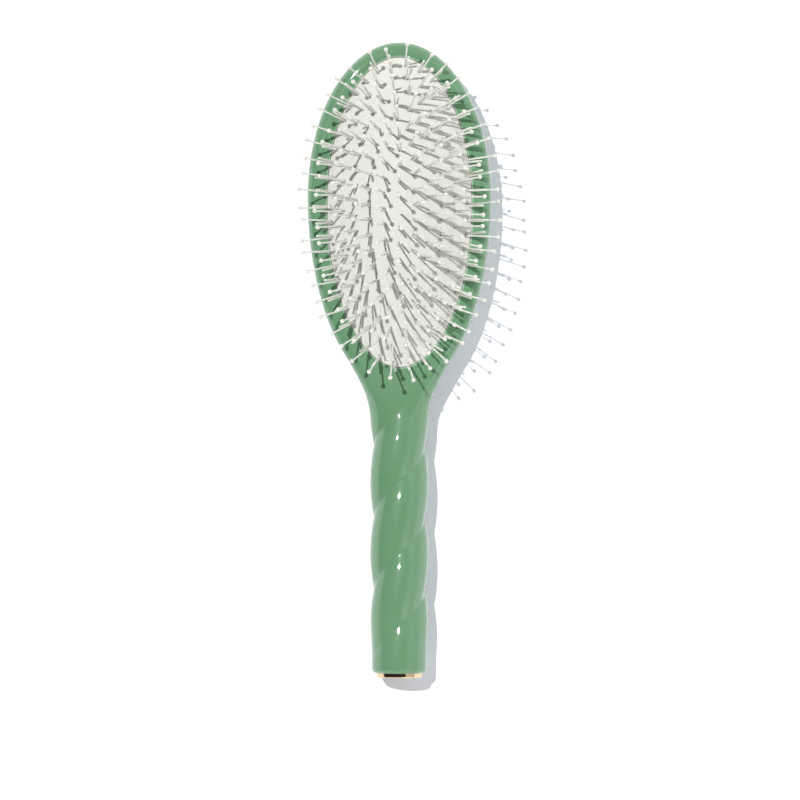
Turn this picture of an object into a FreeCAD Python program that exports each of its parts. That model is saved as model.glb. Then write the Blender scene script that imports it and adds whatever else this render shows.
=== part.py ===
import FreeCAD, Part
import math
import os

# Oval air-cushion detangling brush with a two-start twisted handle, lying on its back.
# X runs across the head, Y along the brush towards the head's tip, Z up out of the pins.
# Y = 0 is the middle of the length and Z = 0 is the surface under the back. Millimetres.

Vector = FreeCAD.Vector

# Whole brush
brush_length = 230.0

# Head: an oval made of two half ellipses that share the widest station
head_width = 66.5
head_widest_y = 59.0
head_lower_reach = 71.0
rim_height = 19.0
edge_height = 14.8
shoulder_width = 3.75
back_squareness = 2.6
land_depth = 0.3

# Neck: the outline leaves the oval and runs smoothly into the handle
neck_start_y = 2.0
neck_end_y = -22.0
neck_rise_y = -3.0
top_rise_end_y = -40.0
slope_step = 0.01

# Handle: two lobes with a crease between them, turning about the handle's axis
handle_diameter = 21.2
handle_end_diameter = 20.2
end_round = 2.2
end_round_width = 1.75
end_taper_length = 28.0
crease_depth = 1.5
crease_round_at_neck = math.radians(1.5)
crease_round_at_end = math.radians(5.0)
twist_lead = 52.0
crease_front_y = -44.0
crease_fade_in_start_y = -8.0
crease_fade_in_length = 20.0
crease_fade_out_length = 25.0

# Polished cap in the handle's end
cap_diameter = 16.6
cap_thickness = 1.6
cap_edge_round = 0.5
spigot_diameter = 8.0
spigot_length = 8.0
spigot_clearance = 0.05

# Rubber cushion: a domed skin with a skirt and a bead held under the pocket's lip
pad_widest_y = 56.0
pad_heel_y = -2.5
side_rim_width = 7.15
tip_rim_width = 5.6
crown = 10.0
skin = 1.2
skirt_wall = 1.0
lip_depth = 1.6
lip_chamfer = 0.4
bead_width = 1.5
bead_height = 2.0
pocket_floor = 7.0
rubber_clearance = 0.05

# Tufts: a long ball-tipped pin and a short blunt bristle held by one stud behind the rubber
ring_count = 5
ring_bias = 0.14
edge_inset = 1.5
tip_inset = 3.0
spine_half_length = 25.2
tuft_pitch = 5.4
pin_diameter = 0.56
pin_reach = 19.0
ball_diameter = 1.6
bristle_diameter = 0.64
bristle_reach = 10.6
bristle_chamfer = 0.1
filament_gap = 0.04
bristle_tilt = math.radians(2.6)
bristle_tilt_change = math.radians(1.4)
tuft_lean = math.radians(2.0)
golden_angle = math.radians(137.5)
lean_step_x = 1.7
lean_step_y = 2.9
tilt_step = 2.3
hole_diameter = 1.6
stud_diameter = 1.8
stud_height = 1.2
socket_depth = 0.7
socket_clearance = 0.02

# Fineness of the body's skin, the dome and the measured curves
points_around = 72
handle_step = 1.3
head_step = 3.0
tip_stations = 22
tip_last_step = 0.25
end_stations = 6
dome_columns = 14
dome_rows = 12
quarter_steps = 40
oval_steps = 720

# How far cutting solids reach past what they cut
cut_over = 1.0

# Derived places
tip_y = brush_length / 2
handle_end_y = -brush_length / 2 + cap_thickness
head_half_width = head_width / 2
handle_radius = handle_diameter / 2
handle_end_radius = handle_end_diameter / 2
handle_axis_z = handle_radius
pad_half_width = head_half_width - side_rim_width
pad_upper_reach = tip_y - tip_rim_width - pad_widest_y
pad_lower_reach = pad_widest_y - pad_heel_y
groove_top = rim_height - lip_depth
groove_bottom = groove_top - bead_height - 2 * rubber_clearance


def smooth_step(value):
    """Ease from 0 to 1 with level ends."""
    share = min(1.0, max(0.0, value))
    return share * share * (3 - 2 * share)


def mix(first, second, share):
    return first + (second - first) * share


# Body sections

def handle_share(y):
    """0 where the section is the head's flat paddle, 1 where it is the round handle."""
    return smooth_step((neck_rise_y - y) / (neck_rise_y - neck_end_y))


def lower_oval(y):
    """Half width of the head's lower half ellipse, and its slope along Y."""
    reach = (head_widest_y - y) / head_lower_reach
    height = math.sqrt(1 - reach * reach)
    return head_half_width * height, head_half_width * reach / (head_lower_reach * height)


def neck_half_width(y):
    """Cubic from the oval's edge at the neck's start to the handle's radius at its end."""
    length = neck_start_y - neck_end_y
    share = (neck_start_y - y) / length
    start, slope = lower_oval(neck_start_y)
    rest = 1 - share
    start_part = rest * rest * (1 + 2 * share) * start
    slope_part = rest * rest * share * (-slope * length)
    end_part = share * share * (3 - 2 * share) * handle_radius
    return start_part + slope_part + end_part


def handle_radius_at(y):
    """Lobe radius, tapering to the end and turning in over the end's rounded edge."""
    along = y - handle_end_y
    taper = smooth_step(1 - along / end_taper_length)
    radius = mix(handle_radius, handle_end_radius, taper)
    if along < end_round:
        inside = 1 - along / end_round
        radius -= end_round_width * (1 - math.sqrt(1 - inside * inside))
    return radius


def half_width(y):
    if y >= head_widest_y:
        reach = (y - head_widest_y) / (tip_y - head_widest_y)
        return head_half_width * math.sqrt(max(0.0, 1 - reach * reach))
    if y >= neck_start_y:
        return lower_oval(y)[0]
    if y > neck_end_y:
        return neck_half_width(y)
    return handle_radius_at(y)


def crease_at(y, angle):
    """How far the twisted crease cuts in at an angle about the handle's axis."""
    fade_in = smooth_step((crease_fade_in_start_y - y) / crease_fade_in_length)
    fade_out = smooth_step((y - handle_end_y) / crease_fade_out_length)
    crease_angle = math.pi / 2 - (y - crease_front_y) * 2 * math.pi / twist_lead
    away = (angle - crease_angle) % math.pi
    away = min(away, math.pi - away)
    down = (crease_fade_in_start_y - y) / (crease_fade_in_start_y - handle_end_y)
    away = math.hypot(away, mix(crease_round_at_neck, crease_round_at_end, smooth_step(down)))
    share = max(0.0, 1 - away / (math.pi / 2))
    return crease_depth * fade_in * fade_out * share * share


def top_height(y):
    """Height along the middle: level on the head, then rising gently to the handle's crest."""
    share = smooth_step((neck_rise_y - y) / (neck_rise_y - top_rise_end_y))
    return mix(rim_height, handle_axis_z + handle_radius_at(y), share)


def outline_level(x, y):
    """1 on the head's outline and less inside it; above the widest station it falls to its centre."""
    if y <= head_widest_y:
        return min(1.0, abs(x) / half_width(y))
    return min(1.0, math.hypot(x / head_half_width, (y - head_widest_y) / (tip_y - head_widest_y)))


def inside_edge(x, y):
    """How far a point lies inside the head's outline, seen from above."""
    if y <= head_widest_y:
        slope = (half_width(y + slope_step) - half_width(y - slope_step)) / (2 * slope_step)
        return (half_width(y) - abs(x)) / math.hypot(1, slope)
    level = outline_level(x, y)
    reach = tip_y - head_widest_y
    slope = math.hypot(x / head_half_width ** 2, (y - head_widest_y) / reach ** 2) / level
    return (1 - level) / slope


def section_point(y, angle):
    """Point of the body's skin at station y; angle 0 is the +X edge and 90 degrees the top.

    The head's top is flat with a rounded shoulder, and its back is a shallow bowl. Both turn
    into the handle's round section along the neck.
    """
    width = half_width(y)
    share = handle_share(y)
    centre_z = mix(edge_height, handle_axis_z, share)
    across = math.cos(angle)
    x = width * across
    if math.sin(angle) >= 0:
        out = abs(across)
        if share < 1:
            shoulder = max(0.0, 1 - inside_edge(x, y) / shoulder_width)
            out = mix(shoulder, out, share)
        z = (top_height(y) - centre_z) * math.sqrt(max(0.0, 1 - out * out))
    else:
        power = mix(back_squareness, 2.0, share)
        depth = mix(edge_height + land_depth, handle_radius_at(y), share)
        z = -depth * (1 - outline_level(x, y) ** power) ** (1 / power)
    turn = math.atan2(z, x)
    cut = crease_at(y, turn)
    return Vector(x - cut * math.cos(turn), y, centre_z + z - cut * math.sin(turn))


def even_quarter(y, first_angle, count):
    """Evenly spaced points over a quarter of the section, without its last point."""
    step = math.pi / 2 / quarter_steps
    quarter = [section_point(y, first_angle + step * i) for i in range(quarter_steps + 1)]
    run = [0.0]
    for before, after in zip(quarter, quarter[1:]):
        run.append(run[-1] + (after - before).Length)
    points = []
    k = 0
    for i in range(count):
        goal = run[-1] * i / count
        while run[k + 1] < goal:
            k += 1
        share = (goal - run[k]) / (run[k + 1] - run[k])
        points.append(quarter[k] + (quarter[k + 1] - quarter[k]) * share)
    return points


def body_stations():
    """Y of every section, close together where the skin turns quickly."""
    stations = []
    for i in range(end_stations):
        stations.append(handle_end_y + end_round * (1 - math.cos(math.pi / 2 * i / end_stations)))
    handle_start = handle_end_y + end_round
    count = math.ceil((neck_start_y - handle_start) / handle_step)
    for i in range(count):
        stations.append(mix(handle_start, neck_start_y, i / count))
    count = math.ceil((head_widest_y - neck_start_y) / head_step)
    for i in range(count):
        stations.append(mix(neck_start_y, head_widest_y, i / count))
    for i in range(tip_stations):
        turn = math.pi / 2 * i / tip_stations
        stations.append(mix(head_widest_y, tip_y, math.sin(turn)))
    last_turn = math.pi / 2 * (1 - tip_last_step / tip_stations)
    stations.append(mix(head_widest_y, tip_y, math.sin(last_turn)))
    return stations


def body_skin():
    """One smooth closed skin through every section, capped at both ends."""
    rows = []
    for y in body_stations():
        row = []
        for quarter in range(4):
            row += even_quarter(y, math.pi / 2 * quarter, points_around // 4)
        rows.append(row)
    spans = len(rows) - 3
    surface = Part.BSplineSurface()
    surface.buildFromPolesMultsKnots(
        rows, [4] + [1] * (spans - 1) + [4], [1] * (points_around + 1),
        list(range(spans + 1)), list(range(points_around + 1)), False, True, 3, 3)
    ends = [Part.Face(Part.Wire([surface.uIso(u).toShape()])) for u in (0, spans)]
    shell = Part.Shell([surface.toShape()] + ends)
    shell.sewShape()
    solid = Part.Solid(shell)
    if solid.Volume < 0:
        solid.reverse()
    return solid


# Pocket and cushion outlines

def egg_wire(grow, z):
    """The pad's outline, made wider all round by grow, at height z."""
    centre = Vector(0, pad_widest_y, z)
    side = Vector(pad_half_width + grow, pad_widest_y, z)
    upper = Part.Ellipse(Vector(0, pad_widest_y + pad_upper_reach + grow, z), side, centre)
    lower = Part.Ellipse(Vector(0, pad_widest_y - pad_lower_reach - grow, z), side, centre)
    quarter = math.pi / 2
    return Part.Wire([upper.toShape(-quarter, quarter), lower.toShape(-quarter, quarter)])


def egg_prism(grow, low, high):
    return Part.Face(egg_wire(grow, low)).extrude(Vector(0, 0, high - low))


def pad_reach(y):
    return pad_upper_reach if y >= pad_widest_y else pad_lower_reach


def dome_height(x, y):
    """Height of the cushion's outer face above the rim."""
    return crown * (1 - (x / pad_half_width) ** 2 - ((y - pad_widest_y) / pad_reach(y)) ** 2)


def dome_normal(x, y):
    slope_x = 2 * crown * x / pad_half_width ** 2
    slope_y = 2 * crown * (y - pad_widest_y) / pad_reach(y) ** 2
    return Vector(slope_x, slope_y, 1).normalize()


def under_dome(lowered):
    """Everything under the cushion's domed face, lowered by an amount, over more than the pad."""
    reach_x = pad_half_width + bead_width + cut_over
    low_y = pad_heel_y - bead_width - cut_over
    high_y = pad_widest_y + pad_upper_reach + bead_width + cut_over
    stations = [mix(low_y, pad_widest_y, i / dome_rows) for i in range(dome_rows)]
    stations += [mix(pad_widest_y, high_y, i / dome_rows) for i in range(dome_rows + 1)]
    across = [mix(-reach_x, reach_x, i / dome_columns) for i in range(dome_columns + 1)]
    top = rim_height - lowered
    grid = [[Vector(x, y, top + dome_height(x, y)) for x in across] for y in stations]
    surface = Part.BSplineSurface()
    surface.interpolate(grid)
    return surface.toShape().extrude(Vector(0, 0, -2 * (rim_height + crown)))


# Tufts

def ring_point(ring, turn):
    """Point of a ring's oval; ring 0 is the straight spine and ring_count the outermost ring.

    The bias sets the inner rings a little further apart than the outer ones.
    """
    even_share = ring / ring_count
    share = even_share * (1 + ring_bias * (1 - even_share))
    reach_x = (pad_half_width - edge_inset) * share
    along = math.sin(turn)
    outer_reach = pad_upper_reach - tip_inset if along >= 0 else pad_lower_reach - edge_inset
    reach_y = mix(spine_half_length, outer_reach, share)
    return reach_x * math.cos(turn), pad_widest_y + reach_y * along


def ring_feet(ring):
    """Evenly spaced feet along a ring, half a step out of line with the next ring."""
    if ring == 0:
        gaps = round(2 * spine_half_length / tuft_pitch)
        low_y = pad_widest_y - spine_half_length
        return [(0.0, low_y + 2 * spine_half_length * i / gaps) for i in range(gaps + 1)]
    oval = [ring_point(ring, 2 * math.pi * i / oval_steps) for i in range(oval_steps + 1)]
    run = [0.0]
    for before, after in zip(oval, oval[1:]):
        run.append(run[-1] + math.dist(before, after))
    count = 2 * round(run[-1] / tuft_pitch / 2)
    feet = []
    k = 0
    for i in range(count):
        goal = run[-1] * (i + (ring + 1) % 2 / 2) / count
        while run[k + 1] < goal:
            k += 1
        share = (goal - run[k]) / (run[k + 1] - run[k])
        feet.append(tuple(mix(a, b, share) for a, b in zip(oval[k], oval[k + 1])))
    return feet


def tuft_axes(number, x, y):
    """Root points and directions of a tuft's pin and bristle, and the hole they share.

    Each tuft leans a little off the dome's normal and turns on by the golden angle.
    """
    normal = dome_normal(x, y)
    spread = number * golden_angle
    level = Vector(math.cos(spread), math.sin(spread), 0)
    side = level - normal * level.dot(normal)
    side.normalize()
    sway = Vector(math.sin(lean_step_x * number), math.cos(lean_step_y * number), 0)
    axis = (normal + sway * math.tan(tuft_lean)).normalize()
    tilt = bristle_tilt + bristle_tilt_change * math.sin(tilt_step * number)
    depth = skin * normal.z + rubber_clearance + socket_depth
    bristle_axis = (axis + side * math.tan(tilt)).normalize()
    apart = (pin_diameter + bristle_diameter) / 2 + filament_gap
    middle = depth - skin * normal.z / 2
    drift = middle * math.tan(tilt)
    surface_point = Vector(x, y, rim_height + dome_height(x, y))
    floor = surface_point - axis * depth
    pin_root = floor - side * ((apart + drift) / 2)
    bristle_root = pin_root + side * apart
    return axis, bristle_axis, pin_root, bristle_root, floor, depth, middle


def turned(shape, place, direction):
    """A copy of a shape made along +Z, moved to a place and pointed along a direction."""
    moved = shape.copy()
    moved.Placement = FreeCAD.Placement(place, FreeCAD.Rotation(Vector(0, 0, 1), direction))
    return moved


def pin_shape(length):
    """Straight pin from its root at the origin, with a ball centred at the given length."""
    radius = pin_diameter / 2
    ball = ball_diameter / 2
    neck = length - math.sqrt(ball * ball - radius * radius)
    corners = [Vector(0, 0, 0), Vector(radius, 0, 0), Vector(radius, 0, neck)]
    edges = [Part.LineSegment(a, b).toShape() for a, b in zip(corners, corners[1:])]
    bulge = Vector(ball, 0, length)
    top = Vector(0, 0, length + ball)
    edges.append(Part.Arc(corners[-1], bulge, top).toShape())
    edges.append(Part.LineSegment(top, corners[0]).toShape())
    return Part.Face(Part.Wire(edges)).revolve(Vector(0, 0, 0), Vector(0, 0, 1), 360)


def bristle_shape(length):
    """Blunt bristle with a softened end."""
    radius = bristle_diameter / 2
    straight = length - bristle_chamfer
    bristle = Part.makeCylinder(radius, straight)
    tip = Part.makeCone(radius, radius - bristle_chamfer, bristle_chamfer, Vector(0, 0, straight))
    return bristle.fuse(tip).removeSplitter()


def build_tufts():
    """All tufts, as three lists of solids for each ring, and the holes that they need."""
    rings = []
    holes = []
    number = 0
    for ring in range(ring_count + 1):
        pins, bristles, studs, heights = [], [], [], []
        for x, y in ring_feet(ring):
            number += 1
            axis, bristle_axis, pin_root, bristle_root, floor, depth, middle = tuft_axes(number, x, y)
            pins.append(turned(pin_shape(depth + pin_reach), pin_root, axis))
            bristles.append(turned(bristle_shape(depth + bristle_reach), bristle_root, bristle_axis))
            base = floor - axis * (stud_height - socket_depth)
            stud = turned(Part.makeCylinder(stud_diameter / 2, stud_height), base, axis)
            pin_socket = Part.makeCylinder(pin_diameter / 2 + socket_clearance, stud_height)
            bristle_socket = Part.makeCylinder(bristle_diameter / 2 + socket_clearance, stud_height)
            stud = stud.cut([turned(pin_socket, pin_root, axis),
                             turned(bristle_socket, bristle_root, bristle_axis)])
            studs.append(stud)
            hole = Part.makeCylinder(hole_diameter / 2, 2 * middle)
            holes.append(turned(hole, floor, axis))
            heights.append(dome_height(x, y))
        rings.append((pins, bristles, studs))
        print("ring", ring, "tufts", len(pins), "mean height", round(sum(heights) / len(heights), 3))
    return rings, holes


# Pieces

def build_body():
    """Paddle, neck and twisted handle in one piece, with the cushion's pocket and the cap's bore."""
    body = body_skin()
    mouth = egg_prism(rubber_clearance, groove_top - cut_over, rim_height + cut_over)
    flare_low = egg_wire(rubber_clearance, rim_height - lip_chamfer)
    flare_high = egg_wire(rubber_clearance + lip_chamfer + cut_over, rim_height + cut_over)
    flare = Part.makeLoft([flare_low, flare_high], True, True)
    groove = egg_prism(bead_width + 2 * rubber_clearance, groove_bottom, groove_top)
    chamber = egg_prism(rubber_clearance, pocket_floor, groove_top)
    under = Part.makeBox(head_width, brush_length, cut_over,
                         Vector(-head_half_width, -brush_length / 2, -cut_over))
    bore_depth = spigot_length + spigot_clearance
    bore = Part.makeCylinder(spigot_diameter / 2 + spigot_clearance, bore_depth + cut_over,
                             Vector(0, handle_end_y - cut_over, handle_axis_z), Vector(0, 1, 0))
    return body.cut([mouth, flare, groove, chamber, under, bore])


def build_cushion(holes):
    """Domed rubber skin with its skirt and bead, and a hole for each tuft."""
    bead_low = groove_bottom + rubber_clearance
    high = rim_height + 2 * crown
    bead = egg_prism(bead_width, bead_low, bead_low + bead_height)
    filled = egg_prism(0, bead_low, high).fuse(bead).common(under_dome(0))
    hollow = egg_prism(-skirt_wall, bead_low - skin, high).common(under_dome(skin))
    return filled.cut(hollow).cut(holes)


def build_cap():
    """Bare polished disc with a rounded outer edge and a spigot."""
    outer = -brush_length / 2
    disc = Part.makeCylinder(cap_diameter / 2, cap_thickness,
                             Vector(0, outer, handle_axis_z), Vector(0, 1, 0))
    edges = [edge for edge in disc.Edges if abs(edge.BoundBox.YMax - outer) < 1e-6]
    disc = disc.makeFillet(cap_edge_round, edges)
    spigot = Part.makeCylinder(spigot_diameter / 2, spigot_length,
                               Vector(0, handle_end_y, handle_axis_z), Vector(0, 1, 0))
    return disc.fuse(spigot).removeSplitter()


def save(name, shape):
    shape.exportStep("parts/" + name + ".step")
    print(name, "solids", len(shape.Solids), "volume", round(shape.Volume, 3), shape.isValid())


def ring_name(ring):
    return "spine" if ring == 0 else "ring_" + str(ring)


os.makedirs("parts", exist_ok=True)
rings, holes = build_tufts()
save("handle_body", build_body())
save("cushion", build_cushion(holes))
save("end_cap", build_cap())
for ring, kinds in enumerate(rings):
    for kind, solids in zip(("pins", "bristles", "studs"), kinds):
        save(ring_name(ring) + "_" + kind, Part.makeCompound(solids))
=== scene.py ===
import math

import bmesh
import bpy
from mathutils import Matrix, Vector, kdtree


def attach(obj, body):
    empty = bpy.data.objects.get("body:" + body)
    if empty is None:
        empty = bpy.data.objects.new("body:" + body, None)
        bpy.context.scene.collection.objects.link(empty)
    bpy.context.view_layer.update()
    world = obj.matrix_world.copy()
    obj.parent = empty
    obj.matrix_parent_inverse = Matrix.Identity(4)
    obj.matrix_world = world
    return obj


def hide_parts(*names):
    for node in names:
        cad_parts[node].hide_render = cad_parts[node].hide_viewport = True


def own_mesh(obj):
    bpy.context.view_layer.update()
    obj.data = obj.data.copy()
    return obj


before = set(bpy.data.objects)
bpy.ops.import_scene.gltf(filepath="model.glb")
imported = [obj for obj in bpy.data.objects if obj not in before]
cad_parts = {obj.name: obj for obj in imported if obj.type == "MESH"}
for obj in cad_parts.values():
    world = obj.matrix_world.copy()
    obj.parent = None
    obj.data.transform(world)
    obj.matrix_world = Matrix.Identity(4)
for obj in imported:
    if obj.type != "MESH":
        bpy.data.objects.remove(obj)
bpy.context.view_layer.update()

# Oval air-cushion detangling brush, lying on its back: its looks, the light and the camera.
# X runs across the head, Y towards the head's tip, Z up out of the pins.
# Sizes are in millimetres, as in the part's source, and MM turns them into metres.
MM = 0.001

# Head
brush_length = 230.0
head_width = 66.5
head_widest_y = 59.0
head_lower_reach = 71.0
rim_height = 19.0
edge_height = 14.8
shoulder_width = 3.75
back_squareness = 2.6
land_depth = 0.3
land_softness = 0.06

# Neck
neck_start_y = 2.0
neck_end_y = -22.0
neck_rise_y = -3.0
top_rise_end_y = -40.0
slope_step = 0.01

# Handle
handle_diameter = 21.2
handle_end_diameter = 20.2
end_round = 2.2
end_round_width = 1.75
end_taper_length = 28.0
crease_depth = 1.5
crease_round_at_neck = math.radians(1.5)
crease_round_at_end = math.radians(5.0)
twist_lead = 52.0
crease_front_y = -44.0
crease_fade_in_start_y = -8.0
crease_fade_in_length = 20.0
crease_fade_out_length = 25.0
cap_thickness = 1.6
bore_diameter = 8.1
bore_depth = 8.05

# Pocket and cushion
pad_widest_y = 56.0
pad_heel_y = -2.5
side_rim_width = 7.15
tip_rim_width = 5.6
crown = 10.0
skin = 1.2
skirt_wall = 1.0
skirt_depth = 1.5
lip_round = 0.6
rubber_clearance = 0.05
pocket_floor = 7.0

# Tufts
pin_root_radius = 0.33
pin_neck_radius = 0.29
pin_straight_share = 0.2
pin_neck_length = 0.5
ball_radius = 0.8
ball_end_turn = math.pi * 0.97
bristle_radius = 0.38
bristle_bow = 0.18
ring_count = 5
hole_radius = 0.54
pucker_depth = 0.03
pucker_radius = 0.95

# Shares of a bristle's length at which its bow is drawn, then shares of its radius at distances from its tip
bristle_stations = (0.35, 0.6, 0.8)
bristle_end = ((1.0, 0.25), (0.92, 0.1), (0.7, 0.0))

# Rolled edge of the cushion: how far each ring is moved out and how far below the rim it lies
pad_edge_roll = ((-0.2, -0.12), (-0.08, 0.0), (-0.02, 0.15), (0.0, 0.35))

# Base colours, each as the two tones that a material blends between
green_deep, green_pale = (0.120, 0.261, 0.137), (0.128, 0.272, 0.146)
# The lip's paler green is a painted reflection: it stands for the bright side panel mirrored in the mouth's
# rounded lip
lip_sheen_deep, lip_sheen_pale = (0.30, 0.43, 0.31), (0.334, 0.461, 0.342)
rubber_deep, rubber_pale = (0.640, 0.643, 0.586), (0.668, 0.671, 0.614)
pin_deep, pin_pale = (0.615, 0.612, 0.577), (0.64, 0.637, 0.602)
ball_deep, ball_pale = (0.60, 0.597, 0.563), (0.625, 0.622, 0.588)
bristle_deep, bristle_pale = (0.595, 0.595, 0.553), (0.62, 0.62, 0.578)
gold_deep, gold_pale = (0.65, 0.53, 0.33), (0.69, 0.57, 0.36)
# The studs' dark grey is painted shade, darker than their plastic, so that the tuft holes read dark at each
# foot
stud_shade_deep, stud_shade_pale = (0.30, 0.30, 0.28), (0.36, 0.36, 0.34)
floor_deep, floor_pale = (0.97, 0.97, 0.965), (0.98, 0.975, 0.97)
floor_glow = (0.57, 0.56, 1.0)
white = (1.0, 1.0, 1.0)
tone_low = 0.3
tone_high = 0.7

# Floor and light, with lengths in metres
floor_reach = 1.9
floor_lift = 0.126
key_slope = (0.28, -0.289)
key_share = 0.82
key_angle = math.radians(1.3)
side_panel_place = (2.0, 0.0, 1.65)
side_panel_size = (3.2, 3.3)
side_panel_glow = 0.7
corner_panel_place = (0.93, 1.18, 1.9)
corner_panel_size = (1.5, 2.4)
corner_panel_glow = 0.67
front_panel_place = (0.0, -2.5, 1.65)
back_panel_place = (0.0, 2.5, 1.65)
end_panel_size = (6.0, 2.7)
front_panel_glow = 1.12
back_panel_glow = 0.5
sky_glow = 0.03
horizon_low = 0.07
horizon_high = 0.12

# Camera
image_width = 289.1
camera_height = 3000.0
camera_x = 0.2
camera_y = -14.4
sensor_width = 36.0
sight_limit = 100000.0

# Fineness of the meshes
quarter_columns = 40
column_ease = 1.5
handle_step = 0.45
oval_rows = 90
tip_rows = 30
end_rows = 8
lip_rings = 5
pad_rings = 80
pad_segments = 288
stick_sides = 12
ball_rings = 9
pad_inner_rings = 12
body_weld = 0.002
cad_weld = 0.001
edge_sharp_degrees = 40
stick_sharp_degrees = 60

# Finding a stick's axis and its foot: depth of the slice at each end, and rounds of closing in
end_slice = 0.05
axis_rounds = 3
surface_rounds = 6

# Derived places
tip_y = brush_length / 2
handle_end_y = -brush_length / 2 + cap_thickness
head_half_width = head_width / 2
handle_radius = handle_diameter / 2
handle_end_radius = handle_end_diameter / 2
handle_axis_z = handle_radius
pad_half_width = head_half_width - side_rim_width
pad_upper_reach = tip_y - tip_rim_width - pad_widest_y
pad_lower_reach = pad_widest_y - pad_heel_y
mouth_grow = rubber_clearance + lip_round
right_angle = math.pi / 2
rings = ["spine"] + [f"ring_{number}" for number in range(1, ring_count + 1)]


def smooth_step(value):
    share = min(1.0, max(0.0, value))
    return share * share * (3 - 2 * share)


def mix(first, second, share):
    return first + (second - first) * share


# Mesh helpers

def mesh_object(name, points, faces, weld, sharp_degrees):
    """A smooth shaded mesh from points in millimetres, with points closer than weld joined."""
    mesh = bpy.data.meshes.new(name)
    mesh.from_pydata([Vector(point) * MM for point in points], [], faces)
    work = bmesh.new()
    work.from_mesh(mesh)
    if weld:
        bmesh.ops.remove_doubles(work, verts=work.verts, dist=weld * MM)
    bmesh.ops.recalc_face_normals(work, faces=work.faces)
    work.to_mesh(mesh)
    work.free()
    mesh.shade_smooth()
    mesh.set_sharp_from_angle(angle=math.radians(sharp_degrees))
    made = bpy.data.objects.new(name, mesh)
    bpy.context.scene.collection.objects.link(made)
    return made


def grid_faces(start, rows, columns, closed):
    """Quads of a grid of points stored row by row; a closed grid joins its last column to its first."""
    faces = []
    for row in range(rows - 1):
        for column in range(columns if closed else columns - 1):
            a = start + row * columns + column
            b = start + row * columns + (column + 1) % columns
            faces.append((a, b, b + columns, a + columns))
    return faces


# Material helpers

def new_material(name):
    """A node material with its Principled shader and its object coordinates."""
    material = bpy.data.materials.new(name)
    material.use_nodes = True
    tree = material.node_tree
    shader = tree.nodes["Principled BSDF"]
    place = tree.nodes.new("ShaderNodeTexCoord").outputs["Object"]
    return material, tree, shader, place


def noise(tree, place, scale, detail):
    """Soft random values between 0 and 1; scale is the number of blotches to a metre."""
    node = tree.nodes.new("ShaderNodeTexNoise")
    node.inputs["Scale"].default_value = scale
    node.inputs["Detail"].default_value = detail
    tree.links.new(place, node.inputs["Vector"])
    return node.outputs["Fac"]


def ramp(tree, value, low, high, first, second):
    """Blend between two colours as the value goes from low to high."""
    node = tree.nodes.new("ShaderNodeValToRGB")
    node.color_ramp.elements[0].position = low
    node.color_ramp.elements[1].position = high
    node.color_ramp.elements[0].color = (*first, 1)
    node.color_ramp.elements[1].color = (*second, 1)
    tree.links.new(value, node.inputs["Fac"])
    return node.outputs["Color"]


def tones(tree, value, deep, pale):
    """Blend a material's two tones over the middle of a noise."""
    return ramp(tree, value, tone_low, tone_high, deep, pale)


def span(tree, value, low, high):
    """Map a value between 0 and 1 to a range."""
    node = tree.nodes.new("ShaderNodeMapRange")
    node.inputs["To Min"].default_value = low
    node.inputs["To Max"].default_value = high
    tree.links.new(value, node.inputs["Value"])
    return node.outputs["Result"]


def bump(tree, shader, value, depth, strength):
    """Raise the surface's shading by a value, depth in millimetres."""
    node = tree.nodes.new("ShaderNodeBump")
    node.inputs["Distance"].default_value = depth * MM
    node.inputs["Strength"].default_value = strength
    tree.links.new(value, node.inputs["Height"])
    tree.links.new(node.outputs["Normal"], shader.inputs["Normal"])


# Materials

def lacquer(name, deep, pale, coat):
    """Sage green under a clear glossy coat, with a faint unevenness from spraying."""
    material, tree, shader, place = new_material(name)
    cloud = noise(tree, place, 35.0, 3.0)
    tint = tones(tree, cloud, deep, pale)
    tree.links.new(tint, shader.inputs["Base Color"])
    tree.links.new(span(tree, noise(tree, place, 220.0, 2.0), 0.34, 0.46), shader.inputs["Roughness"])
    bump(tree, shader, noise(tree, place, 650.0, 1.0), 0.02, 0.06)
    shader.inputs["Specular IOR Level"].default_value = 0.1
    shader.inputs["Coat Weight"].default_value = coat
    shader.inputs["Coat Roughness"].default_value = 0.04
    shader.inputs["Coat IOR"].default_value = 1.5
    return material


def pad_rubber():
    """Warm white moulded rubber with a fine matt grain."""
    material, tree, shader, place = new_material("pad_rubber")
    cloud = noise(tree, place, 60.0, 4.0)
    tint = tones(tree, cloud, rubber_deep, rubber_pale)
    tree.links.new(tint, shader.inputs["Base Color"])
    tree.links.new(span(tree, noise(tree, place, 900.0, 2.0), 0.52, 0.68), shader.inputs["Roughness"])
    bump(tree, shader, noise(tree, place, 2600.0, 3.0), 0.05, 0.25)
    shader.inputs["Specular IOR Level"].default_value = 0.4
    return material


def gold_plate():
    """Polished gold-coloured plate with faint turning marks round the handle's axis."""
    material, tree, shader, place = new_material("gold_plate")
    shift = tree.nodes.new("ShaderNodeMapping")
    shift.inputs["Location"].default_value = (0, 0, -handle_axis_z * MM)
    tree.links.new(place, shift.inputs["Vector"])
    rings_texture = tree.nodes.new("ShaderNodeTexWave")
    rings_texture.wave_type = "RINGS"
    rings_texture.rings_direction = "Y"
    rings_texture.inputs["Scale"].default_value = 900.0
    rings_texture.inputs["Distortion"].default_value = 1.5
    tree.links.new(shift.outputs["Vector"], rings_texture.inputs["Vector"])
    cloud = noise(tree, place, 160.0, 3.0)
    tint = tones(tree, cloud, gold_deep, gold_pale)
    tree.links.new(tint, shader.inputs["Base Color"])
    tree.links.new(span(tree, cloud, 0.05, 0.10), shader.inputs["Roughness"])
    bump(tree, shader, rings_texture.outputs["Fac"], 0.01, 0.08)
    shader.inputs["Metallic"].default_value = 1.0
    return material


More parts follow.
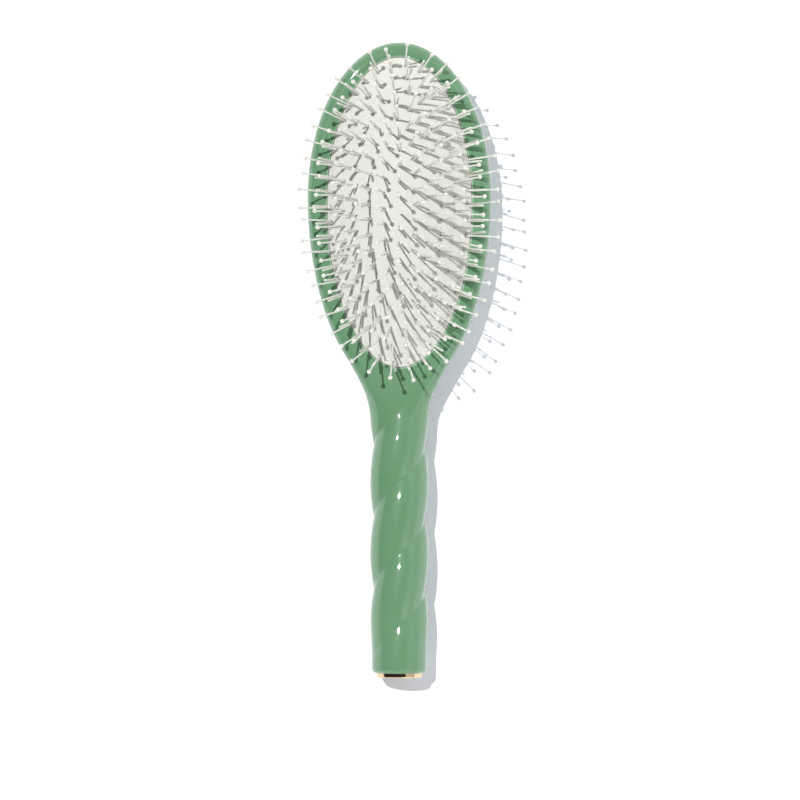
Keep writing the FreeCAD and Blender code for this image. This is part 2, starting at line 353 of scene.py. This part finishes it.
def nylon(name, deep, pale, low_rough, high_rough, shine):
    """Milky drawn nylon that light soaks into, with faint streaks."""
    material, tree, shader, place = new_material(name)
    streak = noise(tree, place, 420.0, 2.0)
    tree.links.new(tones(tree, streak, deep, pale), shader.inputs["Base Color"])
    tree.links.new(span(tree, streak, low_rough, high_rough), shader.inputs["Roughness"])
    shader.inputs["Subsurface Weight"].default_value = 1.0
    shader.inputs["Subsurface Radius"].default_value = (1.0, 1.0, 0.9)
    shader.inputs["Subsurface Scale"].default_value = 2.0 * MM
    shader.inputs["Specular IOR Level"].default_value = shine
    return material


def stud_plastic():
    """Moulded plastic of the hidden studs, toned dark grey as painted shade at the bottom of the tuft holes.
    """
    material, tree, shader, place = new_material("stud_plastic")
    speckle = noise(tree, place, 700.0, 3.0)
    tint = tones(tree, speckle, stud_shade_deep, stud_shade_pale)
    tree.links.new(tint, shader.inputs["Base Color"])
    tree.links.new(span(tree, speckle, 0.5, 0.65), shader.inputs["Roughness"])
    return material


def floor_paint():
    """White floor, seen as pure white where nothing shades it, and clear from underneath."""
    material, tree, shader, place = new_material("floor_paint")
    tint = tones(tree, noise(tree, place, 3.0, 2.0), floor_deep, floor_pale)
    tree.links.new(tint, shader.inputs["Base Color"])
    shader.inputs["Roughness"].default_value = 0.9
    shader.inputs["Specular IOR Level"].default_value = 0.0
    shader.inputs["Emission Color"].default_value = (*floor_glow, 1)
    shader.inputs["Emission Strength"].default_value = floor_lift
    clear = tree.nodes.new("ShaderNodeBsdfTransparent")
    side = tree.nodes.new("ShaderNodeNewGeometry").outputs["Backfacing"]
    both = tree.nodes.new("ShaderNodeMixShader")
    tree.links.new(side, both.inputs["Fac"])
    tree.links.new(shader.outputs["BSDF"], both.inputs[1])
    tree.links.new(clear.outputs["BSDF"], both.inputs[2])
    tree.links.new(both.outputs["Shader"], tree.nodes["Material Output"].inputs["Surface"])
    return material


# Body: the same skin as in the part's source

def handle_share(y):
    """0 on the head and 1 on the handle, changing over the neck."""
    return smooth_step((neck_rise_y - y) / (neck_rise_y - neck_end_y))


def lower_oval(y):
    """Half width of the head's lower half ellipse, and its slope along Y."""
    reach = (head_widest_y - y) / head_lower_reach
    height = math.sqrt(1 - reach * reach)
    return head_half_width * height, head_half_width * reach / (head_lower_reach * height)


def neck_half_width(y):
    """Cubic from the oval's edge at the neck's start to the handle's radius at its end."""
    length = neck_start_y - neck_end_y
    share = (neck_start_y - y) / length
    start, slope = lower_oval(neck_start_y)
    rest = 1 - share
    start_part = rest * rest * (1 + 2 * share) * start
    slope_part = rest * rest * share * (-slope * length)
    end_part = share * share * (3 - 2 * share) * handle_radius
    return start_part + slope_part + end_part


def handle_radius_at(y):
    """Lobe radius, tapering to the end and turning in over the end's rounded edge."""
    along = y - handle_end_y
    taper = smooth_step(1 - along / end_taper_length)
    radius = mix(handle_radius, handle_end_radius, taper)
    if along < end_round:
        inside = 1 - along / end_round
        radius -= end_round_width * (1 - math.sqrt(1 - inside * inside))
    return radius


def half_width(y):
    """Half width of the brush's outline at a station."""
    if y >= head_widest_y:
        reach = (y - head_widest_y) / (tip_y - head_widest_y)
        return head_half_width * math.sqrt(max(0.0, 1 - reach * reach))
    if y >= neck_start_y:
        return lower_oval(y)[0]
    if y > neck_end_y:
        return neck_half_width(y)
    return handle_radius_at(y)


def crease_turn(y):
    """Angle about the handle's axis at which the crease lies."""
    return right_angle - (y - crease_front_y) * 2 * math.pi / twist_lead


def crease_at(y, angle):
    """How far the twisted crease cuts in at an angle about the handle's axis."""
    fade_in = smooth_step((crease_fade_in_start_y - y) / crease_fade_in_length)
    fade_out = smooth_step((y - handle_end_y) / crease_fade_out_length)
    away = (angle - crease_turn(y)) % math.pi
    down = (crease_fade_in_start_y - y) / (crease_fade_in_start_y - handle_end_y)
    rounding = mix(crease_round_at_neck, crease_round_at_end, smooth_step(down))
    away = math.hypot(min(away, math.pi - away), rounding)
    share = max(0.0, 1 - away / right_angle)
    return crease_depth * fade_in * fade_out * share * share


def top_height(y):
    """Height along the middle: level on the head, then rising gently to the handle's crest."""
    share = smooth_step((neck_rise_y - y) / (neck_rise_y - top_rise_end_y))
    return mix(rim_height, handle_axis_z + handle_radius_at(y), share)


def outline_level(x, y):
    """1 on the head's outline and less inside it; above the widest station it falls to its centre."""
    if y <= head_widest_y:
        return min(1.0, abs(x) / half_width(y))
    return min(1.0, math.hypot(x / head_half_width, (y - head_widest_y) / (tip_y - head_widest_y)))


def inside_edge(x, y):
    """How far a point lies inside the head's outline, seen from above."""
    if y <= head_widest_y:
        slope = (half_width(y + slope_step) - half_width(y - slope_step)) / (2 * slope_step)
        return (half_width(y) - abs(x)) / math.hypot(1, slope)
    level = outline_level(x, y)
    reach = tip_y - head_widest_y
    slope = math.hypot(x / head_half_width ** 2, (y - head_widest_y) / reach ** 2) / level
    return (1 - level) / slope


def body_point(y, angle):
    """Point of the skin at station y; angle 0 is the +X edge and a right angle the top."""
    width = half_width(y)
    share = handle_share(y)
    centre_z = mix(edge_height, handle_axis_z, share)
    across = math.cos(angle)
    x = width * across
    if math.sin(angle) >= 0:
        out = abs(across)
        if share < 1:
            shoulder = max(0.0, 1 - inside_edge(x, y) / shoulder_width)
            out = mix(shoulder, out, share)
        z = (top_height(y) - centre_z) * math.sqrt(max(0.0, 1 - out * out))
    else:
        power = mix(back_squareness, 2.0, share)
        depth = mix(edge_height + land_depth, handle_radius_at(y), share)
        z = -depth * (1 - outline_level(x, y) ** power) ** (1 / power)
    turn = math.atan2(z, x)
    cut = crease_at(y, turn)
    height = centre_z + z - cut * math.sin(turn)
    above_floor = (height + math.hypot(height, land_softness)) / 2
    return x - cut * math.cos(turn), y, above_floor


def mouth_rows():
    """Turn round the pad's outline and station of each row across the pocket's mouth, heel first."""
    rows = []
    for i in range(-oval_rows, oval_rows + 1):
        turn = right_angle * i / oval_rows
        reach = pad_upper_reach if i >= 0 else pad_lower_reach
        rows.append((turn, pad_widest_y + (reach + mouth_grow) * math.sin(turn)))
    return rows


def body_rows(twist_start):
    """Station and mouth half width of every row, from the handle's end to the head's tip."""
    rows = []
    for i in range(end_rows):
        rows.append((handle_end_y + end_round * (1 - math.cos(right_angle * i / end_rows)), 0.0))
    start = handle_end_y + end_round
    mouth = mouth_rows()
    for low, high in ((start, twist_start), (twist_start, mouth[0][1])):
        count = math.ceil((high - low) / handle_step)
        rows += [(mix(low, high, i / count), 0.0) for i in range(count)]
    for turn, y in mouth:
        rows.append((y, (pad_half_width + mouth_grow) * math.cos(turn)))
    first_turn = math.asin((mouth[-1][1] - head_widest_y) / (tip_y - head_widest_y))
    for i in range(1, tip_rows + 1):
        turn = mix(first_turn, right_angle, i / tip_rows)
        rows.append((mix(head_widest_y, tip_y, math.sin(turn)), 0.0))
    return rows


def twist_start_y():
    """First station above the crease at which the crease's line meets the widest points."""
    half_lead = twist_lead / 2
    steps = math.ceil((crease_fade_in_start_y - crease_front_y - half_lead / 2) / half_lead)
    return crease_front_y + half_lead / 2 + steps * half_lead


def add_skin(points, faces):
    """Four strips of quads along the brush, which follow the creases along the handle."""
    twist_start = twist_start_y()
    rows = body_rows(twist_start)
    ease = [(k / quarter_columns) ** column_ease for k in range(quarter_columns + 1)]
    for base, way, is_top in ((0, 1, True), (2, -1, True), (2, 1, False), (4, -1, False)):
        start = len(points)
        for y, mouth in rows:
            turn = crease_turn(y) - crease_turn(twist_start) if y < twist_start else 0.0
            reach = right_angle
            if is_top and mouth > 0:
                reach = math.acos(mouth / half_width(y))
            for share in ease:
                points.append(body_point(y, turn + base * right_angle + way * reach * share))
        faces += grid_faces(start, len(rows), quarter_columns + 1, False)


def mouth_ring(grow, drop):
    """Ring of points round the mouth, wider than the pad by grow and lowered from the rim by drop."""
    ring = []
    rows = mouth_rows()
    sides = [(1, row) for row in rows] + [(-1, row) for row in rows[-2:0:-1]]
    for side, (turn, y) in sides:
        width = half_width(y)
        angle = math.acos((pad_half_width + mouth_grow) * math.cos(turn) / width)
        top = body_point(y, angle)[2]
        reach = pad_upper_reach if turn >= 0 else pad_lower_reach
        ring.append((side * (pad_half_width + grow) * math.cos(turn),
                     pad_widest_y + (reach + grow) * math.sin(turn), top - drop))
    return ring


def add_pocket(points, faces):
    """Rounded lip, walls and floor of the cushion's pocket."""
    start = len(points)
    for k in range(lip_rings + 1):
        turn = right_angle * k / lip_rings
        points += mouth_ring(rubber_clearance + lip_round * (1 - math.sin(turn)),
                             lip_round * (1 - math.cos(turn)))
    lowest = mouth_ring(rubber_clearance, 0)
    points += [(x, y, pocket_floor) for x, y, z in lowest]
    faces += grid_faces(start, lip_rings + 2, len(lowest), True)
    centre = len(points)
    points.append((0, pad_widest_y, pocket_floor))
    edge = centre - len(lowest)
    faces += [(edge + i, edge + (i + 1) % len(lowest), centre) for i in range(len(lowest))]


def add_bore(points, faces):
    """Flat end of the handle with the blind bore for the cap's spigot."""
    sides = 4 * quarter_columns
    start = len(points)
    turns = crease_turn(handle_end_y) - crease_turn(twist_start_y())
    ease = [(k / quarter_columns) ** column_ease for k in range(quarter_columns)]
    angles = []
    for base in (0, 2):
        angles += [turns + (base + share) * right_angle for share in ease]
        angles += [turns + (base + 2 - share) * right_angle for share in [1.0] + ease[:0:-1]]
    end_radius = handle_radius_at(handle_end_y)
    for radius, y in ((end_radius, handle_end_y), (bore_diameter / 2, handle_end_y),
                      (bore_diameter / 2, handle_end_y + bore_depth)):
        points += [(radius * math.cos(a), y, handle_axis_z + radius * math.sin(a)) for a in angles]
    faces += grid_faces(start, 3, sides, True)
    faces.append(tuple(range(start + 2 * sides, start + 3 * sides)))


def is_lip(point):
    """Whether a point of the body lies on the mouth's rounded lip, which is given a paler green as a painted
    reflection.
    """
    reach = pad_upper_reach if point.y >= pad_widest_y else pad_lower_reach
    across = point.x / (pad_half_width + mouth_grow)
    along = (point.y - pad_widest_y) / (reach + mouth_grow)
    return math.hypot(across, along) < 1 and point.z > rim_height - lip_round


def build_body():
    """Paddle, neck and twisted handle with the pocket for the cushion."""
    points, faces = [], []
    add_skin(points, faces)
    add_pocket(points, faces)
    add_bore(points, faces)
    body = mesh_object("brush_body", points, faces, body_weld, edge_sharp_degrees)
    body.data.materials.append(lacquer("green_lacquer", green_deep, green_pale, 1.0))
    # Paler green on the lip is a painted reflection of the side panel, under only a thin coat
    body.data.materials.append(lacquer("lip_painted_sheen", lip_sheen_deep, lip_sheen_pale, 0.05))
    for face in body.data.polygons:
        face.material_index = int(is_lip(face.center / MM))
    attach(body, "brush")
    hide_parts("handle_body")


# Tufts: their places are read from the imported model

def sticks(node, cap_radius):
    """Root and tip centre, in millimetres, of each separate pin or bristle of a CAD node."""
    work = bmesh.new()
    work.from_mesh(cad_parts[node].data)
    bmesh.ops.remove_doubles(work, verts=work.verts, dist=cad_weld * MM)
    found = []
    left = set(work.verts)
    while left:
        first = next(vert for vert in work.verts if vert in left)
        left.discard(first)
        group, open_ends = [first], [first]
        while open_ends:
            for edge in open_ends.pop().link_edges:
                for vert in edge.verts:
                    if vert in left:
                        left.discard(vert)
                        group.append(vert)
                        open_ends.append(vert)
        found.append(stick_ends([vert.co / MM for vert in group], cap_radius))
    work.free()
    return found


def stick_ends(cloud, cap_radius):
    """Middle of the root's face, and the tip's middle set back by the cap's radius."""
    middle = sum(cloud, Vector()) / len(cloud)
    top = max(cloud, key=lambda point: point.z)
    far = max(cloud, key=lambda point: (point - top).length)
    axis = (top - far).normalized()
    for repeat in range(axis_rounds):
        heights = [(point - middle).dot(axis) for point in cloud]
        low, high = min(heights), max(heights)
        root_ring = [p for p, h in zip(cloud, heights) if h < low + end_slice]
        tip_ring = [p for p, h in zip(cloud, heights) if h > high - end_slice]
        root = sum(root_ring, Vector()) / len(root_ring)
        tip = sum(tip_ring, Vector()) / len(tip_ring)
        axis = (tip - root).normalized()
    end = root + axis * (high - low)
    return root, end - axis * cap_radius


def dome_height(x, y):
    """Height of the cushion's outer face above the rim."""
    reach = pad_upper_reach if y >= pad_widest_y else pad_lower_reach
    return crown * (1 - (x / pad_half_width) ** 2 - ((y - pad_widest_y) / reach) ** 2)


def at_surface(root, tip):
    """Where the line of a pin or bristle goes through the cushion's outer face."""
    axis = (tip - root).normalized()
    point = root.copy()
    for repeat in range(surface_rounds):
        point += axis * (rim_height + dome_height(point.x, point.y) - point.z)
    return point, axis


def lathe(points, faces, root, axis, profile, bow):
    """Round stick along an axis from a list of radii at heights, bent sideways by bow at its tip."""
    side = axis.orthogonal().normalized()
    other = axis.cross(side)
    start = len(points)
    length = profile[-1][1]
    for radius, height in profile:
        centre = root + axis * height + side * (bow * (height / length) ** 2)
        for i in range(stick_sides):
            turn = 2 * math.pi * i / stick_sides
            points.append(centre + (side * math.cos(turn) + other * math.sin(turn)) * radius)
    faces += grid_faces(start, len(profile), stick_sides, True)
    faces.append(tuple(reversed(range(start, start + stick_sides))))
    faces.append(tuple(range(len(points) - stick_sides, len(points))))


def build_pins(ring, shaft_material, ball_material):
    """Long tapered pins of one ring, each with a ball that keeps hair from snagging."""
    points, faces, is_ball = [], [], []
    ends = sticks(ring + "_pins", ball_radius)
    for root, tip in ends:
        axis = (tip - root).normalized()
        length = (tip - root).length
        neck_turn = math.asin(pin_neck_radius / ball_radius)
        neck = length - ball_radius * math.cos(neck_turn)
        profile = [(pin_root_radius, 0.0), (pin_root_radius, length * pin_straight_share),
                   (pin_neck_radius, neck - pin_neck_length), (pin_neck_radius, neck)]
        shaft_faces = (len(profile) - 1) * stick_sides
        for k in range(1, ball_rings + 1):
            turn = mix(neck_turn, ball_end_turn, k / ball_rings)
            profile.append((ball_radius * math.sin(turn), length - ball_radius * math.cos(turn)))
        before = len(faces)
        lathe(points, faces, root, axis, profile, 0.0)
        made = len(faces) - before
        root_disc = made - 2
        is_ball += [i >= shaft_faces and i != root_disc for i in range(made)]
    pins = mesh_object("pins_" + ring, points, faces, 0, stick_sharp_degrees)
    pins.data.materials.append(shaft_material)
    pins.data.materials.append(ball_material)
    pins.data.polygons.foreach_set("material_index", [int(flag) for flag in is_ball])
    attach(pins, ring + "_tufts")
    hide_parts(ring + "_pins")
    return ends


def build_bristles(ring, material):
    """Short blunt bristles of one ring, each a little bowed."""
    points, faces = [], []
    ends = sticks(ring + "_bristles", 0.0)
    for root, tip in ends:
        length = (tip - root).length
        profile = [(bristle_radius, 0.0)]
        profile += [(bristle_radius, length * share) for share in bristle_stations]
        profile += [(bristle_radius * share, length - back) for share, back in bristle_end]
        lathe(points, faces, root, (tip - root).normalized(), profile, bristle_bow)
    bristles = mesh_object("bristles_" + ring, points, faces, 0, stick_sharp_degrees)
    bristles.data.materials.append(material)
    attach(bristles, ring + "_tufts")
    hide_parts(ring + "_bristles")
    return ends


def build_tufts():
    """All pins and bristles; gives the place and direction of each tuft's hole in the rubber."""
    pin_material = nylon("pin_nylon", pin_deep, pin_pale, 0.40, 0.50, 0.1)
    ball_material = nylon("ball_nylon", ball_deep, ball_pale, 0.30, 0.40, 0.25)
    bristle_material = nylon("bristle_nylon", bristle_deep, bristle_pale, 0.40, 0.50, 0.1)
    holes = []
    for ring in rings:
        pins = build_pins(ring, pin_material, ball_material)
        bristles = build_bristles(ring, bristle_material)
        for root, tip in pins:
            partner = min(bristles, key=lambda ends: (ends[0] - root).length)
            foot, axis = at_surface(root, tip)
            other_foot, other_axis = at_surface(*partner)
            holes.append(((foot + other_foot) / 2, axis))
    return holes


# Cushion

def pad_ring(share, grow, z_shift):
    """Ring of points at a share of the pad's outline, moved in or out by grow."""
    ring = []
    for i in range(pad_segments):
        turn = 2 * math.pi * i / pad_segments
        reach = pad_upper_reach if math.sin(turn) >= 0 else pad_lower_reach
        x = (pad_half_width * share + grow) * math.cos(turn)
        y = pad_widest_y + (reach * share + grow) * math.sin(turn)
        ring.append(Vector((x, y, rim_height + crown * (1 - share * share) + z_shift)))
    return ring


def pad_shell(holes):
    """Closed shell of the cushion: domed face drawn in round each tuft, rolled edge, skirt and inside."""
    tree = kdtree.KDTree(len(holes))
    for i, (place, axis) in enumerate(holes):
        tree.insert((place.x, place.y, 0), i)
    tree.balance()
    shares = [k / pad_rings for k in range(1, pad_rings)]
    rows = [pad_ring(share, 0, 0) for share in shares]
    for row in rows:
        for point in row:
            away = tree.find((point.x, point.y, 0))[2]
            point.z -= pucker_depth * math.exp(-(away / pucker_radius) ** 2)
    for grow, drop in (*pad_edge_roll, (0.0, skirt_depth)):
        rows.append(pad_ring(1, grow, -drop))
    rows.append(pad_ring(1, -skirt_wall, -skirt_depth))
    inner_edge = 1 - skirt_wall / pad_half_width
    for share in [inner_edge * k / pad_inner_rings for k in range(pad_inner_rings, 0, -1)]:
        rows.append(pad_ring(share, 0, -skin))
    points = [point for row in rows for point in row]
    faces = grid_faces(0, len(rows), pad_segments, True)
    top = len(points)
    points.append(Vector((0, pad_widest_y, rim_height + crown)))
    points.append(Vector((0, pad_widest_y, rim_height + crown - skin)))
    last = top - pad_segments
    for i in range(pad_segments):
        after = (i + 1) % pad_segments
        faces.append((after, i, top))
        faces.append((last + i, last + after, top + 1))
    return mesh_object("rubber_pad", points, faces, 0, edge_sharp_degrees)


def build_pad(holes):
    """Rubber cushion with a hole through it for each tuft."""
    pad = pad_shell(holes)
    points, faces = [], []
    cut_reach = 2 * skin
    for place, axis in holes:
        below = place - axis * cut_reach
        lathe(points, faces, below, axis, [(hole_radius, 0.0), (hole_radius, 2 * cut_reach)], 0.0)
    cutter = mesh_object("hole_cutter", points, faces, 0, edge_sharp_degrees)
    cut = pad.modifiers.new("tuft_holes", "BOOLEAN")
    cut.operation = "DIFFERENCE"
    cut.solver = "EXACT"
    cut.object = cutter
    graph = bpy.context.evaluated_depsgraph_get()
    holed = bpy.data.meshes.new_from_object(pad.evaluated_get(graph))
    pad.modifiers.clear()
    pad.data = holed
    bpy.data.objects.remove(cutter)
    holed.shade_smooth()
    holed.set_sharp_from_angle(angle=math.radians(edge_sharp_degrees))
    holed.materials.clear()
    holed.materials.append(pad_rubber())
    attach(pad, "brush")
    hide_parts("cushion")
    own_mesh(pad)


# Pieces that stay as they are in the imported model

def dress_kept_nodes():
    """The cap and the hidden studs keep their shapes and get their materials."""
    stud_material = stud_plastic()
    for ring in rings:
        paint(ring + "_studs", stud_material)
    paint("end_cap", gold_plate())


def paint(node, material):
    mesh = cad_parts[node].data
    mesh.materials.clear()
    mesh.materials.append(material)


# Stage: floor, light and camera

def build_floor():
    points = [(-1, -1, 0), (1, -1, 0), (1, 1, 0), (-1, 1, 0)]
    mesh = bpy.data.meshes.new("floor")
    mesh.from_pydata([Vector(point) * floor_reach for point in points], [], [(0, 1, 2, 3)])
    mesh.materials.append(floor_paint())
    floor = bpy.data.objects.new("floor", mesh)
    bpy.context.scene.collection.objects.link(floor)


def build_light():
    """A distant key from the upper left, and white panels on the right, at its corners and past both ends."""
    key = bpy.data.lights.new("key", "SUN")
    run = Vector((key_slope[0], key_slope[1], -1.0))
    key.energy = key_share * math.pi * run.length
    key.angle = key_angle
    lamp = bpy.data.objects.new("key", key)
    lamp.rotation_euler = run.to_track_quat("-Z", "Y").to_euler()
    bpy.context.scene.collection.objects.link(lamp)
    build_panel("side_panel", side_panel_place, side_panel_size, side_panel_glow)
    x, y, z = corner_panel_place
    build_panel("front_corner_panel", (x, -y, z), corner_panel_size, corner_panel_glow)
    build_panel("back_corner_panel", (x, y, z), corner_panel_size, corner_panel_glow)
    build_panel("front_panel", front_panel_place, end_panel_size, front_panel_glow)
    build_panel("back_panel", back_panel_place, end_panel_size, back_panel_glow)


def build_panel(name, place, size, glow):
    """Upright white panel that faces the brush and looks as bright as its glow."""
    panel = bpy.data.lights.new(name, "AREA")
    panel.shape = "RECTANGLE"
    panel.size, panel.size_y = size
    panel.energy = glow * math.pi * size[0] * size[1]
    lamp = bpy.data.objects.new(name, panel)
    lamp.location = place
    facing = Vector((-place[0], -place[1], 0))
    lamp.rotation_euler = facing.to_track_quat("-Z", "Y").to_euler()
    bpy.context.scene.collection.objects.link(lamp)


def build_world():
    """Dim room above, pale at and below the horizon, with a white backdrop for the camera."""
    world = bpy.data.worlds.new("studio")
    world.use_nodes = True
    bpy.context.scene.world = world
    tree = world.node_tree
    direction = tree.nodes.new("ShaderNodeTexCoord").outputs["Generated"]
    split = tree.nodes.new("ShaderNodeSeparateXYZ")
    tree.links.new(direction, split.inputs["Vector"])
    dim = (sky_glow,) * 3
    shade = ramp(tree, split.outputs["Z"], horizon_low, horizon_high, white, dim)
    room = tree.nodes["Background"]
    tree.links.new(shade, room.inputs["Color"])
    backdrop = tree.nodes.new("ShaderNodeBackground")
    backdrop.inputs["Color"].default_value = (*white, 1)
    both = tree.nodes.new("ShaderNodeMixShader")
    tree.links.new(tree.nodes.new("ShaderNodeLightPath").outputs["Is Camera Ray"], both.inputs["Fac"])
    tree.links.new(room.outputs["Background"], both.inputs[1])
    tree.links.new(backdrop.outputs["Background"], both.inputs[2])
    tree.links.new(both.outputs["Shader"], tree.nodes["World Output"].inputs["Surface"])


def build_camera():
    """Straight down on the brush, from far enough to be nearly without perspective."""
    data = bpy.data.cameras.new("camera")
    data.sensor_width = sensor_width
    data.lens = sensor_width * (camera_height - rim_height) / image_width
    data.clip_end = sight_limit * MM
    camera = bpy.data.objects.new("camera", data)
    camera.location = (camera_x * MM, camera_y * MM, camera_height * MM)
    bpy.context.scene.collection.objects.link(camera)
    bpy.context.scene.camera = camera


build_body()
build_pad(build_tufts())
dress_kept_nodes()
build_floor()
build_light()
build_world()
build_camera()
bpy.context.scene.view_settings.view_transform = "Standard"
